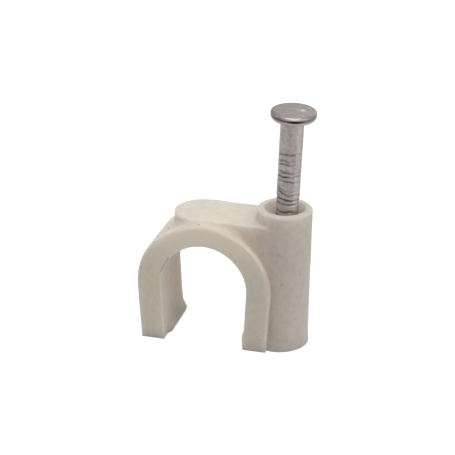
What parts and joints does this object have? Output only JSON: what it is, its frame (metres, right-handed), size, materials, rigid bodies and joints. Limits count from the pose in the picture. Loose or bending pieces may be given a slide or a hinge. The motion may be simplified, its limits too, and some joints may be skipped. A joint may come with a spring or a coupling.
{
  "type": "nail in cable clip",
  "caption": "Round-backed cable clip moulded in one piece, with a ring-grooved steel nail standing in its boss, ready to be driven into a wall.",
  "frame": {"origin": "on the wall's surface, under the middle of the whole part", "axes": "+Z away from the wall, +Y along the cable, +X from the cable towards the nail"},
  "size_m": [0.0192, 0.0076, 0.0277],
  "materials": {
    "clip": "moulded polyethylene, soft satin, warm off-white",
    "nail": "hardened steel, dull grey, ring-grooved shank"
  },
  "bodies": {
    "clip": {"clip_body": "clip"},
    "nail": {"nail": "nail"}
  },
  "joints": [
    {"name": "nail_drive", "type": "slide", "parent": "clip", "child": "nail", "axis": [-0.0332, 0, -0.9995], "range_m": [0, 0.0102]}
  ]
}
